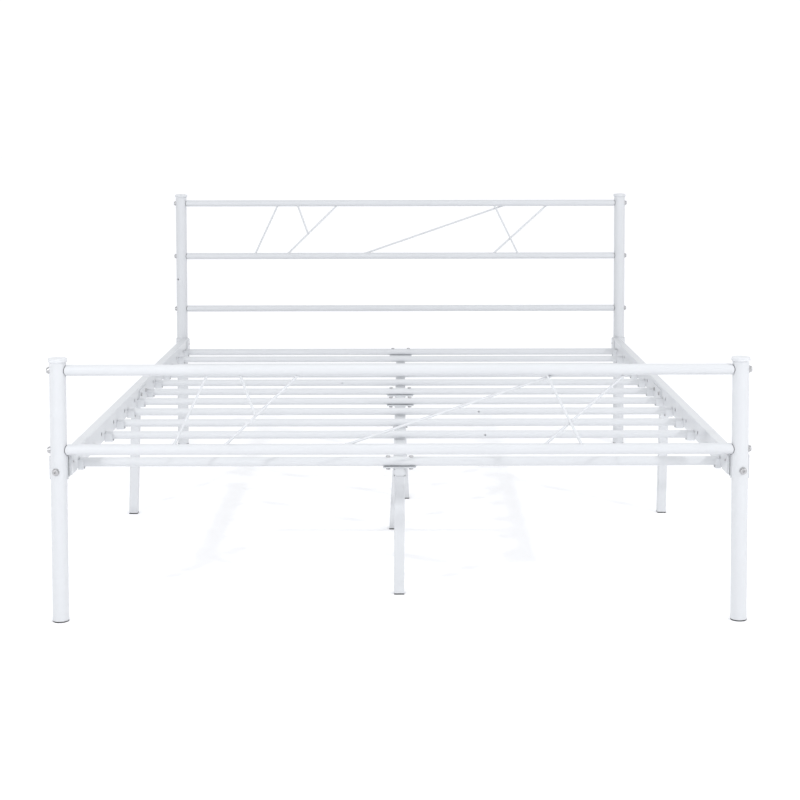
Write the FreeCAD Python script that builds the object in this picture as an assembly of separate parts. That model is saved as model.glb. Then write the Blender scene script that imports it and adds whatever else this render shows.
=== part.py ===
import FreeCAD, Part
import math
import os

# Steel bed frame, bolted together from tubes: a headboard and a footboard of round rails and thin
# decorative rods between round posts, side rails in two halves, twelve bars across, and a rail on
# four legs down the middle. X runs across the bed, Y from foot to head, Z up. The origin is on the
# floor at the middle of the bed. Millimetres throughout.

Vector = FreeCAD.Vector
ACROSS = Vector(1, 0, 0)
ALONG = Vector(0, 1, 0)
UP = Vector(0, 0, 1)

# Overall sizes
POST_SPAN_X = 1580.0            # post centre to post centre, across
POST_SPAN_Y = 2090.0            # post centre to post centre, along
HEAD_HEIGHT = 908.0             # floor to the top of the head caps
FOOT_HEIGHT = 618.0             # floor to the top of the foot caps

# Posts, their caps and glides
POST_DIAMETER = 38.1
POST_WALL = 1.5
CAP_OVERHANG = 2.95             # how far the rim reaches beyond the post
CAP_HEIGHT = 12.0               # above the end of the tube
CAP_NECK = 3.0                  # the sloping part below the rim
CAP_EDGE = 2.5                  # rounding of the rim
CAP_DOME = 1.6                  # rise of the top
CAP_PLUG = 12.0                 # how far a cap goes into its post, short of the top rail's bolt
GLIDE_PLUG = 16.0               # how far a glide goes into its tube
GLIDE_HEIGHT = 3.0              # thickness of a glide under a tube
GLIDE_EDGE = 1.0                # bevel round its foot
GLIDE_PLAY = 1.2                # plug clear of a square leg's inside, because the legs lean

# Headboard and footboard
HEAD_RAIL_DIAMETER = 22.2
FOOT_RAIL_DIAMETER = 25.4
HEAD_RAIL_DROPS = (33.5, 224.0, 414.0)      # cap top down to each rail centre
FOOT_RAIL_DROP = 30.0           # foot cap top down to the centre of the upper rail
FOOT_RAIL_CLEARANCE = 1.3       # lower foot rail above the side rails
RAIL_WALL = 1.5
RAIL_INSERT = 25.0              # threaded insert in each end of a rail
RAIL_END_GAP = 2.0              # the tube stops this far short of its insert, which meets the post
ROD_DIAMETER = 6.0
ROD_STAGGER = 3.1               # crossing rods pass this far either side of the rail's centre plane
# Top and bottom of each rod as shares of half the post span, and its stagger
ROD_LINES = {
    "a": (-0.555, -0.668, 0),
    "c": (-0.279, -0.525, 0),
    "d": (0.505, -0.194, 1),
    "e": (0.423, 0.541, -1),
    "f": (0.679, 0.414, 1),
}
ROD_B_TOP = -0.472              # rod b starts here and is welded to rod c
ROD_B_DROP = 0.58               # this share of the way down rod c

# Side rails
RAIL_INNER_SETBACK = 2.45       # rail's inner face beyond the inner side of the saddle
RAIL_WIDTH = 25.0
RAIL_HEIGHT = 51.0
RAIL_CORNER = 3.0
RAIL_DROP = 2.0                 # bottom of the rail below the underside of the bars
RAIL_JOINT_GAP = 1.0            # between the halves, at mid length
SADDLE_WALL = 3.0               # curved plate that seats a rail on its post
SADDLE_LIP = 4.0                # how far it reaches below the rail
SADDLE_DROP = 1.0               # its top edge below the top of the rail
SADDLE_START = 1.0              # its edges are this far behind the post's centre
RAIL_START = 4.0                # the rail itself begins this far behind it
NUT_ROOM_DIAMETER = 17.0        # notch in the end of the rail for the nut behind the saddle
NUT_ROOM_LENGTH = 12.0
DOUBLER_LENGTH = 60.0           # flat plate on the rail's inner face, beside the saddle
DOUBLER_START = 10.0
DOUBLER_SCREW_Y = 29.0
DOUBLER_SCREW_RISE = 6.0        # above the middle of the rail
SLEEVE_LENGTH = 120.0           # bar inside the joint of two rail halves
MARK_HOLE_DIAMETER = 12.0       # hole in the inner face beside each bar
MARK_HOLE_SHIFT = 50.0          # on the foot side of the bar
MARK_HOLE_HEIGHT = 24.0         # above the bottom of the rail

# Bars across the bed
BARS_PER_HALF = 6
BAR_SEAT_HEIGHT = 339.5         # underside of every bar
END_BAR_INSET = 111.0           # post centre to the first and the last bar
END_BAR_DIAMETER = 22.2
SLAT_DIAMETER = 20.0
BAR_WALL = 1.2
BAR_END_GAP = 2.0               # bar end to the side rail
HOLDER_LENGTH = 20.0            # holder that carries a bar end, along the bar
END_HOLDER_LENGTH = 12.0        # the same on the first and the last bar
HOLDER_CHEEK = 1.8              # its wall beside the bar
HOLDER_FLOOR = 5.2              # its thickness under the bar
HOLDER_RISE = 0.8               # its height above the bar's underside, as a share of the bar's diameter
HOLDER_SCREW_DROP = 2.6         # screw centre below the bar
VENT_HOLE_DIAMETER = 4.0
# Bars with a vent hole in the foot side: bar number from the head, share of half the post span
VENT_HOLES = {4: -0.23, 7: 0.28, 9: 0.28}

# Rail down the middle, and its legs
CENTRE_RAIL_WIDTH = 30.5
CENTRE_RAIL_HEIGHT = 20.0
CENTRE_RAIL_OVERHANG = 15.0     # beyond the centre of its end bars
PLATE_LENGTH = 78.0             # plate welded on the rail under an end bar
PLATE_WIDTH = 26.0
PLATE_THICKNESS = 3.0
BAR_BOLT_SPREAD = 27.5          # bolts through bar and plate, either side of the middle
CLIP_BOLT_SHARE = 0.186         # bolt across the rail, from mid half, as a share of the bars' span
LEG_SHARE = 0.377               # centre legs, from mid half, as a share of the bars' span
LEG_SIZE = 25.4
LEG_WALL = 1.5
LEG_CORNER = 2.5
LEG_FLANGE_LENGTH = 56.0        # plate welded on top of a centre leg
LEG_FLANGE_THICKNESS = 3.0
FLANGE_SCREW_SPREAD = 20.0
CENTRE_LEG_LEANS = (-2.0, -19.0, 14.0, 4.0)     # foot of each centre leg from its top, foot end first
SIDE_LEG_SHIFT = 6.5            # top of a side leg outward of the rail's middle
SIDE_LEG_LEANS = {-1: 10.2, 1: -6.7}            # foot of the left and right leg outward from its top
STRAP_CLEARANCE = 8.0           # channel on top of a side leg, short of the holders of the bars beside it
STRAP_WALL = 2.5
STRAP_RISE = 42.0
STRAP_BOLT_SPREAD = 40.0

# Fasteners
POST_BOLT_DIAMETER = 8.0
POST_BOLT_HEAD = 14.0
POST_BOLT_HEAD_HEIGHT = 5.0
POST_BOLT_CROWN = 2.5           # rounding of the head
POST_BOLT_SOCKET = 5.0          # across the flats of the key
POST_BOLT_SOCKET_DEPTH = 3.0
POST_BOLT_THREAD = 20.0         # how far a bolt goes into a rail's insert
POST_BOLT_TAIL = 2.0            # beyond its nut
POST_WASHER_DIAMETER = 17.0
POST_WASHER_THICKNESS = 1.6
POST_NUT_FLATS = 13.0
POST_NUT_HEIGHT = 6.5
POST_NUT_SINK = 1.0             # rim of a nut past the crown of the saddle, which it is hollowed to fit
SIDE_BOLT_HEIGHT = 354.0        # bolt from the outside of a post into the side rail's saddle
SIDE_BOLT_OFFSET = 3.5          # outward of the post's centre
SMALL_BOLT_DIAMETER = 6.0
SMALL_BOLT_HEAD = 11.0
SMALL_BOLT_HEAD_HEIGHT = 4.0
SMALL_BOLT_CROWN = 1.8          # rounding of the head
HEAD_SINK = 1.2                 # rim of a head below the top of the bar that it sits on
SMALL_NUT_FLATS = 10.0
SMALL_NUT_HEIGHT = 5.0
SCREW_DIAMETER = 3.0
SCREW_HEAD = 5.0
SCREW_HEAD_HEIGHT = 2.4
SCREW_CROWN = 1.2
BOLT_HOLE_CLEARANCE = 0.5
FAR = 3000.0                    # longer than anything on the bed
NEARLY = 0.01                   # lengths this close count as the same

# A single unused hole in the left head post
SPARE_HOLE_DIAMETER = 6.5
SPARE_HOLE_HEIGHT = 601.0
SPARE_HOLE_ANGLE = 38.0         # turned outward from facing the foot

HALF_X = POST_SPAN_X / 2
HALF_Y = POST_SPAN_Y / 2
POST_RADIUS = POST_DIAMETER / 2
RAIL_BOTTOM = BAR_SEAT_HEIGHT - RAIL_DROP
RAIL_TOP = RAIL_BOTTOM + RAIL_HEIGHT
RAIL_INNER_X = HALF_X - POST_RADIUS - SADDLE_WALL - RAIL_INNER_SETBACK
RAIL_OUTER_X = RAIL_INNER_X + RAIL_WIDTH
RAIL_MIDDLE_X = (RAIL_INNER_X + RAIL_OUTER_X) / 2
RAIL_MIDDLE_Z = (RAIL_BOTTOM + RAIL_TOP) / 2
BAR_COUNT = 2 * BARS_PER_HALF
BAR_PITCH = (POST_SPAN_Y - 2 * END_BAR_INSET) / (BAR_COUNT - 1)
SIDE_LEG_X = RAIL_MIDDLE_X + SIDE_LEG_SHIFT
STRAP_LENGTH = BAR_PITCH - SLAT_DIAMETER - 2 * (HOLDER_CHEEK + STRAP_CLEARANCE)
CENTRE_RAIL_TOP = BAR_SEAT_HEIGHT - PLATE_THICKNESS
CENTRE_RAIL_BOTTOM = CENTRE_RAIL_TOP - CENTRE_RAIL_HEIGHT
HEAD_RAIL_HEIGHTS = [HEAD_HEIGHT - drop for drop in HEAD_RAIL_DROPS]
FOOT_RAIL_HEIGHTS = [FOOT_HEIGHT - FOOT_RAIL_DROP, RAIL_TOP + FOOT_RAIL_CLEARANCE + FOOT_RAIL_DIAMETER / 2]
SIDES = {"left": -1, "right": 1}
ENDS = {"foot": -1, "head": 1}


def save(name, shape):
    """Writes one sub-part."""
    shape.exportStep("parts/" + name + ".step")


def cylinder(start, end, diameter):
    """Solid round bar between two points."""
    path = end - start
    return Part.makeCylinder(diameter / 2, path.Length, start, path)


def tube(start, end, diameter, wall):
    """Open round tube between two points."""
    return cylinder(start, end, diameter).cut(cylinder(start, end, diameter - 2 * wall))


def block(low, high):
    """Box between two opposite corners, given in any order."""
    corner = Vector(min(low.x, high.x), min(low.y, high.y), min(low.z, high.z))
    return Part.makeBox(abs(high.x - low.x), abs(high.y - low.y), abs(high.z - low.z), corner)


def rounded_block(low, high, axis, radius):
    """Box whose four edges along the axis are rounded."""
    box = block(low, high)
    edges = [e for e in box.Edges if abs(e.tangentAt(e.FirstParameter).dot(axis)) > 1 - NEARLY]
    return box.makeFillet(radius, edges)


def square_tube(low, high, axis, wall, radius):
    """Rectangular tube along the axis between two opposite corners, low before high."""
    skin = (Vector(1, 1, 1) - axis) * wall
    bore = rounded_block(low + skin, high - skin, axis, radius - wall / 2)
    return rounded_block(low, high, axis, radius).cut(bore)


def hexagon(centre, axis, flats, height):
    """Six-sided prism that starts at centre and runs along the axis."""
    sideways = axis.cross(UP if abs(axis.z) < 0.5 else ACROSS)
    upright = axis.cross(sideways)
    radius = flats / math.sqrt(3)
    corners = []
    for step in range(7):
        turn = math.radians(60 * step)
        corners.append(centre + sideways * (radius * math.cos(turn)) + upright * (radius * math.sin(turn)))
    return Part.Face(Part.makePolygon(corners)).extrude(axis * height)


def bar_y(index):
    """Place of a bar, counted from the head."""
    return HALF_Y - END_BAR_INSET - index * BAR_PITCH


def bar_diameter(index):
    """The first and the last bar are thicker."""
    return END_BAR_DIAMETER if index in (0, BAR_COUNT - 1) else SLAT_DIAMETER


def holder_length(index):
    """The holders of the first and the last bar are shorter."""
    return END_HOLDER_LENGTH if index in (0, BAR_COUNT - 1) else HOLDER_LENGTH


def bar_cylinder(index, shrink=0.0):
    """Solid of a bar's outer surface, or inside it."""
    diameter = bar_diameter(index)
    height = BAR_SEAT_HEIGHT + diameter / 2
    end = Vector(RAIL_INNER_X - BAR_END_GAP, bar_y(index), height)
    return cylinder(Vector(-end.x, end.y, end.z), end, diameter - 2 * shrink)


def domed_head(seat, out, diameter, height, crown):
    """Round head that starts at seat and runs outward, its outer edge rounded."""
    head = cylinder(seat, seat + out * height, diameter)
    rim = [e for e in head.Edges if abs((e.CenterOfMass - seat).dot(out) - height) < NEARLY]
    return head.makeFillet(crown, rim)


def post_bolt(seat, axis, length, post_centre):
    """Bolt and washer on a post: seat is on the post's tangent plane, axis points into the post."""
    out = axis * -1
    head_base = seat + out * POST_WASHER_THICKNESS
    washer = cylinder(seat + axis * POST_RADIUS, head_base, POST_WASHER_DIAMETER)
    washer = washer.cut(cylinder(post_centre, post_centre + UP * FAR, POST_DIAMETER))
    head = domed_head(head_base, out, POST_BOLT_HEAD, POST_BOLT_HEAD_HEIGHT, POST_BOLT_CROWN)
    socket_base = head_base + out * (POST_BOLT_HEAD_HEIGHT - POST_BOLT_SOCKET_DEPTH)
    head = head.cut(hexagon(socket_base, out, POST_BOLT_SOCKET, POST_BOLT_HEAD_HEIGHT))
    shank = cylinder(head_base, seat + axis * length, POST_BOLT_DIAMETER)
    return head.fuse(shank).removeSplitter(), washer.cut(shank)


def small_bolt(head_seat, axis, grip, under_head=None):
    """Button head bolt with a nut: head_seat is under the head, axis points along the shank.

    A round solid given as under_head hollows the head so that it sits on it.
    """
    head = domed_head(head_seat, axis * -1, SMALL_BOLT_HEAD, SMALL_BOLT_HEAD_HEIGHT, SMALL_BOLT_CROWN)
    if under_head:
        head = head.cut(under_head)
    shank = cylinder(head_seat, head_seat + axis * (grip + SMALL_NUT_HEIGHT), SMALL_BOLT_DIAMETER)
    nut = hexagon(head_seat + axis * grip, axis, SMALL_NUT_FLATS, SMALL_NUT_HEIGHT)
    return head.fuse(shank).removeSplitter(), nut.cut(shank)


def screw(head_seat, axis, length):
    """Pan head screw: head_seat is under the head, axis points along the shank."""
    head = domed_head(head_seat, axis * -1, SCREW_HEAD, SCREW_HEAD_HEIGHT, SCREW_CROWN)
    return head.fuse(cylinder(head_seat, head_seat + axis * length, SCREW_DIAMETER)).removeSplitter()


def post_top(end):
    """End of the tube of a head post (1) or a foot post (-1)."""
    return (HEAD_HEIGHT if end > 0 else FOOT_HEIGHT) - CAP_HEIGHT


def post_centre(side, end):
    """Centre of a post on the floor."""
    return Vector(side * HALF_X, end * HALF_Y, 0)


def post(side, end):
    """Round post with holes for the bolts of its rails and its side rail."""
    centre = post_centre(side, end)
    shape = tube(centre + UP * GLIDE_HEIGHT, centre + UP * post_top(end), POST_DIAMETER, POST_WALL)
    hole = POST_BOLT_DIAMETER + BOLT_HOLE_CLEARANCE
    for height in (HEAD_RAIL_HEIGHTS if end > 0 else FOOT_RAIL_HEIGHTS):
        middle = centre + UP * height
        shape = shape.cut(cylinder(middle - ACROSS * POST_DIAMETER, middle + ACROSS * POST_DIAMETER, hole))
    middle = centre + ACROSS * (side * SIDE_BOLT_OFFSET) + UP * SIDE_BOLT_HEIGHT
    shape = shape.cut(cylinder(middle - ALONG * POST_DIAMETER, middle + ALONG * POST_DIAMETER, hole))
    if side < 0 < end:
        turn = math.radians(SPARE_HOLE_ANGLE)
        facing = Vector(-math.sin(turn), -math.cos(turn), 0)
        middle = centre + UP * SPARE_HOLE_HEIGHT
        shape = shape.cut(cylinder(middle, middle + facing * POST_DIAMETER, SPARE_HOLE_DIAMETER))
    return shape


def cap(side, end):
    """Cap pushed into a post: plug, sloping neck, rounded rim and a slightly domed top."""
    plug_radius = POST_RADIUS - POST_WALL
    rim_radius = POST_RADIUS + CAP_OVERHANG
    top_radius = rim_radius - CAP_EDGE
    shoulder = CAP_HEIGHT - CAP_DOME
    rounding = CAP_EDGE * (1 - math.sqrt(0.5))
    dome_radius = (top_radius ** 2 + CAP_DOME ** 2) / (2 * CAP_DOME)
    halfway_drop = dome_radius - math.sqrt(dome_radius ** 2 - (top_radius / 2) ** 2)
    outline = [
        Part.makePolygon([
            Vector(0, 0, -CAP_PLUG),
            Vector(plug_radius, 0, -CAP_PLUG),
            Vector(plug_radius, 0, 0),
            Vector(POST_RADIUS, 0, 0),
            Vector(rim_radius, 0, CAP_NECK),
            Vector(rim_radius, 0, shoulder - CAP_EDGE),
        ]),
        Part.Arc(
            Vector(rim_radius, 0, shoulder - CAP_EDGE),
            Vector(rim_radius - rounding, 0, shoulder - rounding),
            Vector(top_radius, 0, shoulder),
        ).toShape(),
        Part.Arc(
            Vector(top_radius, 0, shoulder),
            Vector(top_radius / 2, 0, CAP_HEIGHT - halfway_drop),
            Vector(0, 0, CAP_HEIGHT),
        ).toShape(),
        Part.makeLine(Vector(0, 0, CAP_HEIGHT), Vector(0, 0, -CAP_PLUG)),
    ]
    edges = [edge for piece in outline for edge in piece.Edges]
    shape = Part.Face(Part.Wire(Part.__sortEdges__(edges))).revolve(Vector(0, 0, 0), UP, 360)
    shape.translate(post_centre(side, end) + UP * post_top(end))
    return shape


def round_glide(side, end):
    """Plastic glide pushed into the foot of a post."""
    centre = post_centre(side, end)
    foot = cylinder(centre, centre + UP * GLIDE_HEIGHT, POST_DIAMETER)
    floor_edge = [e for e in foot.Edges if e.CenterOfMass.z < NEARLY]
    foot = foot.makeChamfer(GLIDE_EDGE, floor_edge)
    plug = cylinder(centre, centre + UP * (GLIDE_HEIGHT + GLIDE_PLUG), POST_DIAMETER - 2 * POST_WALL)
    return foot.fuse(plug).removeSplitter()


def board_rail(end, height, diameter):
    """Round rail between two posts, its ends shaped to them and closed by threaded inserts."""
    reach = POST_RADIUS + RAIL_INSERT
    bore = diameter - 2 * RAIL_WALL
    left, right = [post_centre(side, end) + UP * height for side in SIDES.values()]
    shape = cylinder(left, right, diameter)
    shape = shape.cut(cylinder(left + ACROSS * reach, right - ACROSS * reach, bore))
    for side, middle in zip(SIDES.values(), (left, right)):
        low = middle - UP * diameter
        high = middle + UP * diameter
        inner_end = middle - ACROSS * (side * reach)
        shape = shape.cut(cylinder(low, high, POST_DIAMETER + 2 * RAIL_END_GAP))
        insert = cylinder(middle, middle - ACROSS * (side * POST_DIAMETER), bore)
        shape = shape.fuse(insert.cut(cylinder(low, high, POST_DIAMETER)))
        shape = shape.cut(cylinder(middle, inner_end, POST_BOLT_DIAMETER))
    return shape


def rod_line(letter, end, top, bottom):
    """Ends of a decorative rod on the centre lines of the rails it joins."""
    top_share, bottom_share, stagger = ROD_LINES[letter]
    y = end * HALF_Y + stagger * ROD_STAGGER
    return Vector(top_share * HALF_X, y, top), Vector(bottom_share * HALF_X, y, bottom)


def board_rods(end, heights, rail_diameter):
    """Six rods between the two upper rails, cut to the rails they are welded to."""
    top, bottom = heights[0], heights[1]
    rails = [
        cylinder(Vector(-HALF_X, end * HALF_Y, z), Vector(HALF_X, end * HALF_Y, z), rail_diameter)
        for z in (top, bottom)
    ]
    rods = {}
    for letter in ROD_LINES:
        start, finish = rod_line(letter, end, top, bottom)
        rods[letter] = cylinder(start, finish, ROD_DIAMETER).cut(rails[0]).cut(rails[1])
    start, finish = rod_line("c", end, top, bottom)
    meeting = start + (finish - start) * ROD_B_DROP
    short = cylinder(Vector(ROD_B_TOP * HALF_X, end * HALF_Y, top), meeting, ROD_DIAMETER)
    rods["b"] = short.cut(rails[0]).cut(cylinder(start, finish, ROD_DIAMETER))
    return rods


def side_rail(side, end):
    """Half of a side rail, with the saddle that seats it on its post."""
    inner = side * RAIL_INNER_X
    outer = side * RAIL_OUTER_X
    post_y = end * HALF_Y
    near = post_y - end * RAIL_START
    joint = end * RAIL_JOINT_GAP / 2
    low = Vector(min(inner, outer), min(near, joint), RAIL_BOTTOM)
    high = Vector(max(inner, outer), max(near, joint), RAIL_TOP)
    shape = square_tube(low, high, ALONG, RAIL_WALL, RAIL_CORNER)
    centre = post_centre(side, end)
    saddle_outer = POST_DIAMETER + 2 * SADDLE_WALL
    shape = shape.cut(cylinder(centre, centre + UP * FAR, saddle_outer))
    bolt = centre + ACROSS * (side * SIDE_BOLT_OFFSET) + UP * SIDE_BOLT_HEIGHT
    nut_room_end = bolt - ALONG * (end * (saddle_outer / 2 + NUT_ROOM_LENGTH))
    shape = shape.cut(cylinder(bolt, nut_room_end, NUT_ROOM_DIAMETER))
    saddle_low = centre + UP * (RAIL_BOTTOM - SADDLE_LIP)
    saddle_high = centre + UP * (RAIL_TOP - SADDLE_DROP)
    saddle = tube(saddle_low, saddle_high, saddle_outer, SADDLE_WALL)
    bed_side = block(
        Vector(centre.x - POST_DIAMETER, post_y - end * SADDLE_START, 0),
        Vector(centre.x + POST_DIAMETER, post_y - end * POST_DIAMETER, FOOT_HEIGHT),
    )
    saddle = saddle.common(bed_side)
    doubler_end = post_y - end * (DOUBLER_START + DOUBLER_LENGTH)
    doubler = block(
        Vector(inner, post_y - end * DOUBLER_START, RAIL_BOTTOM + RAIL_CORNER),
        Vector(inner - side * SADDLE_WALL, doubler_end, RAIL_TOP - RAIL_CORNER),
    ).cut(cylinder(centre, centre + UP * FAR, POST_DIAMETER))
    shape = shape.fuse([saddle, doubler]).removeSplitter()

    bolt_hole = POST_BOLT_DIAMETER + BOLT_HOLE_CLEARANCE
    shape = shape.cut(cylinder(bolt, bolt - ALONG * (end * POST_DIAMETER), bolt_hole))
    shape = shape.cut(doubler_screw(side, end))
    for index in half_bars(end):
        shape = shape.cut(holder_screw(index, side))
        mark = Vector(inner - side, bar_y(index) - MARK_HOLE_SHIFT, RAIL_BOTTOM + MARK_HOLE_HEIGHT)
        doubler_reach = HALF_Y - DOUBLER_START - DOUBLER_LENGTH
        if STRAP_LENGTH / 2 + MARK_HOLE_DIAMETER < abs(mark.y) < doubler_reach - MARK_HOLE_DIAMETER:
            shape = shape.cut(cylinder(mark, mark + ACROSS * (side * RAIL_WIDTH / 2), MARK_HOLE_DIAMETER))
    return shape.cut(strap_bolt(side, end)[0])


def half_bars(end):
    """Numbers of the bars on the head half (1) or the foot half (-1)."""
    return range(BARS_PER_HALF) if end > 0 else range(BARS_PER_HALF, BAR_COUNT)


def doubler_screw(side, end):
    """Screw through a doubler into its side rail."""
    height = RAIL_MIDDLE_Z + DOUBLER_SCREW_RISE
    seat = Vector(side * (RAIL_INNER_X - SADDLE_WALL), end * (HALF_Y - DOUBLER_SCREW_Y), height)
    return screw(seat, ACROSS * side, SADDLE_WALL + 2 * RAIL_WALL)


def holder_screw(index, side):
    """Screw through a bar holder into the side rail, under the bar."""
    length = holder_length(index)
    seat = Vector(side * (RAIL_INNER_X - length), bar_y(index), BAR_SEAT_HEIGHT - HOLDER_SCREW_DROP)
    return screw(seat, ACROSS * side, length + 2 * RAIL_WALL)


def bar_holder(index, side):
    """Moulded cup on the side rail in which a bar end lies."""
    diameter = bar_diameter(index)
    half_width = diameter / 2 + HOLDER_CHEEK
    y = bar_y(index)
    inner_end = side * (RAIL_INNER_X - holder_length(index))
    low = Vector(inner_end, y - half_width, BAR_SEAT_HEIGHT - HOLDER_FLOOR)
    high = Vector(side * RAIL_INNER_X, y + half_width, BAR_SEAT_HEIGHT + diameter * HOLDER_RISE)
    cup = rounded_block(low, high, ACROSS, HOLDER_CHEEK / 2)
    centre_height = BAR_SEAT_HEIGHT + diameter / 2
    stop = side * (RAIL_INNER_X - BAR_END_GAP)
    seat = cylinder(Vector(inner_end, y, centre_height), Vector(stop, y, centre_height), diameter)
    mouth = block(
        Vector(inner_end, y - diameter / 2, centre_height),
        Vector(stop, y + diameter / 2, centre_height + diameter),
    )
    return cup.cut(seat.fuse(mouth)).cut(holder_screw(index, side))


def bar(index):
    """Round bar across the bed."""
    shape = bar_cylinder(index).cut(bar_cylinder(index, BAR_WALL))
    for bolt, _ in bar_bolts(index):
        shape = shape.cut(bolt)
    if index in VENT_HOLES:
        middle = Vector(VENT_HOLES[index] * HALF_X, bar_y(index), BAR_SEAT_HEIGHT + bar_diameter(index) / 2)
        shape = shape.cut(cylinder(middle, middle - ALONG * SLAT_DIAMETER, VENT_HOLE_DIAMETER))
    return shape


def bar_bolts(index):
    """Bolts with nuts that hold a bar to the centre rail's plate, or none on a bar between plates."""
    if index not in (0, BARS_PER_HALF - 1, BARS_PER_HALF, BAR_COUNT - 1):
        return []
    diameter = bar_diameter(index)
    grip = diameter + PLATE_THICKNESS - HEAD_SINK
    pairs = []
    for side in SIDES.values():
        seat = Vector(side * BAR_BOLT_SPREAD, bar_y(index), BAR_SEAT_HEIGHT + diameter - HEAD_SINK)
        pairs.append(small_bolt(seat, UP * -1, grip, bar_cylinder(index)))
    return pairs


def half_middle(end):
    """Middle of a half, along the bed."""
    bars = half_bars(end)
    return (bar_y(bars[0]) + bar_y(bars[-1])) / 2


def bars_span():
    """First bar to last bar of one half."""
    return (BARS_PER_HALF - 1) * BAR_PITCH


def clip_bolt(end):
    """Bolt and nut across one half of the centre rail."""
    y = half_middle(end) + CLIP_BOLT_SHARE * bars_span()
    seat = Vector(-CENTRE_RAIL_WIDTH / 2, y, CENTRE_RAIL_TOP - CENTRE_RAIL_HEIGHT / 2)
    return small_bolt(seat, ACROSS, CENTRE_RAIL_WIDTH)


def centre_rail(end):
    """Half of the rail down the middle, with a plate welded on it under each of its end bars."""
    bars = half_bars(end)
    half_width = CENTRE_RAIL_WIDTH / 2
    low = Vector(-half_width, bar_y(bars[-1]) - CENTRE_RAIL_OVERHANG, CENTRE_RAIL_BOTTOM)
    high = Vector(half_width, bar_y(bars[0]) + CENTRE_RAIL_OVERHANG, CENTRE_RAIL_TOP)
    shape = square_tube(low, high, ALONG, RAIL_WALL, RAIL_CORNER)
    for index in (bars[0], bars[-1]):
        y = bar_y(index)
        plate = rounded_block(
            Vector(-PLATE_LENGTH / 2, y - PLATE_WIDTH / 2, CENTRE_RAIL_TOP),
            Vector(PLATE_LENGTH / 2, y + PLATE_WIDTH / 2, BAR_SEAT_HEIGHT),
            UP,
            RAIL_CORNER,
        )
        shape = shape.fuse(plate)
    shape = shape.removeSplitter()
    for index in (bars[0], bars[-1]):
        for bolt, _ in bar_bolts(index):
            shape = shape.cut(bolt)
    shape = shape.cut(clip_bolt(end)[0])
    for number in centre_leg_numbers(end):
        for fixing in flange_screws(number):
            shape = shape.cut(fixing)
    return shape


def centre_leg_numbers(end):
    """Legs of one half, counted from the foot."""
    return (1, 2) if end < 0 else (3, 4)


def centre_leg_y(number):
    """Place of a centre leg along the bed."""
    end = -1 if number < 3 else 1
    direction = -1 if number in (1, 3) else 1
    return half_middle(end) + direction * LEG_SHARE * bars_span()


def leaning_tube(top, foot):
    """Square tube whose ends are level, from the centre of its foot to the centre of its top."""
    shapes = []
    for wall in (0, LEG_WALL):
        half = LEG_SIZE / 2 - wall
        corner = Vector(half, half, 0)
        upright = rounded_block(foot - corner, foot + corner + UP, UP, LEG_CORNER - wall / 2)
        section = min(upright.Faces, key=lambda face: face.CenterOfMass.z)
        shapes.append(section.extrude(top - foot))
    return shapes[0].cut(shapes[1])


def centre_leg(number):
    """Centre leg with the flange that is screwed under the centre rail."""
    y = centre_leg_y(number)
    flange_base = CENTRE_RAIL_BOTTOM - LEG_FLANGE_THICKNESS
    foot = Vector(CENTRE_LEG_LEANS[number - 1], y, GLIDE_HEIGHT)
    shape = leaning_tube(Vector(0, y, flange_base), foot)
    flange = rounded_block(
        Vector(-LEG_SIZE / 2, y - LEG_FLANGE_LENGTH / 2, flange_base),
        Vector(LEG_SIZE / 2, y + LEG_FLANGE_LENGTH / 2, CENTRE_RAIL_BOTTOM),
        UP,
        LEG_CORNER,
    )
    shape = shape.fuse(flange).removeSplitter()
    for fixing in flange_screws(number):
        shape = shape.cut(fixing)
    return shape


def flange_screws(number):
    """Two screws up through the flange of a centre leg."""
    base = CENTRE_RAIL_BOTTOM - LEG_FLANGE_THICKNESS
    places = [centre_leg_y(number) + step * FLANGE_SCREW_SPREAD for step in (-1, 1)]
    return [screw(Vector(0, y, base), UP, LEG_FLANGE_THICKNESS + 2 * RAIL_WALL) for y in places]


def strap_bolt(side, end):
    """Bolt and nut through a side leg's strap and one half of the side rail."""
    inner = side * (RAIL_INNER_X - STRAP_WALL)
    seat = Vector(inner, end * STRAP_BOLT_SPREAD, RAIL_MIDDLE_Z)
    return small_bolt(seat, ACROSS * side, RAIL_WIDTH + 2 * STRAP_WALL)


def side_leg(side):
    """Leg at mid length, with a channel that holds both halves of the side rail."""
    strap_low = RAIL_BOTTOM - STRAP_WALL
    foot = Vector(side * (SIDE_LEG_X + SIDE_LEG_LEANS[side]), 0, GLIDE_HEIGHT)
    leg = leaning_tube(Vector(side * SIDE_LEG_X, 0, strap_low), foot)
    channel = rounded_block(
        Vector(side * (RAIL_INNER_X - STRAP_WALL), -STRAP_LENGTH / 2, strap_low),
        Vector(side * (RAIL_OUTER_X + STRAP_WALL), STRAP_LENGTH / 2, strap_low + 2 * STRAP_RISE),
        ALONG,
        RAIL_CORNER,
    )
    rail = rounded_block(
        Vector(side * RAIL_INNER_X, -STRAP_LENGTH, RAIL_BOTTOM),
        Vector(side * RAIL_OUTER_X, STRAP_LENGTH, RAIL_BOTTOM + 3 * STRAP_RISE),
        ALONG,
        RAIL_CORNER,
    )
    above = block(
        Vector(side * (RAIL_INNER_X - RAIL_WIDTH), -STRAP_LENGTH, strap_low + STRAP_RISE),
        Vector(side * (RAIL_OUTER_X + RAIL_WIDTH), STRAP_LENGTH, RAIL_BOTTOM + 3 * STRAP_RISE),
    )
    shape = leg.fuse(channel.cut(rail).cut(above)).removeSplitter()
    for end in ENDS.values():
        shape = shape.cut(strap_bolt(side, end)[0])
    return shape


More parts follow.
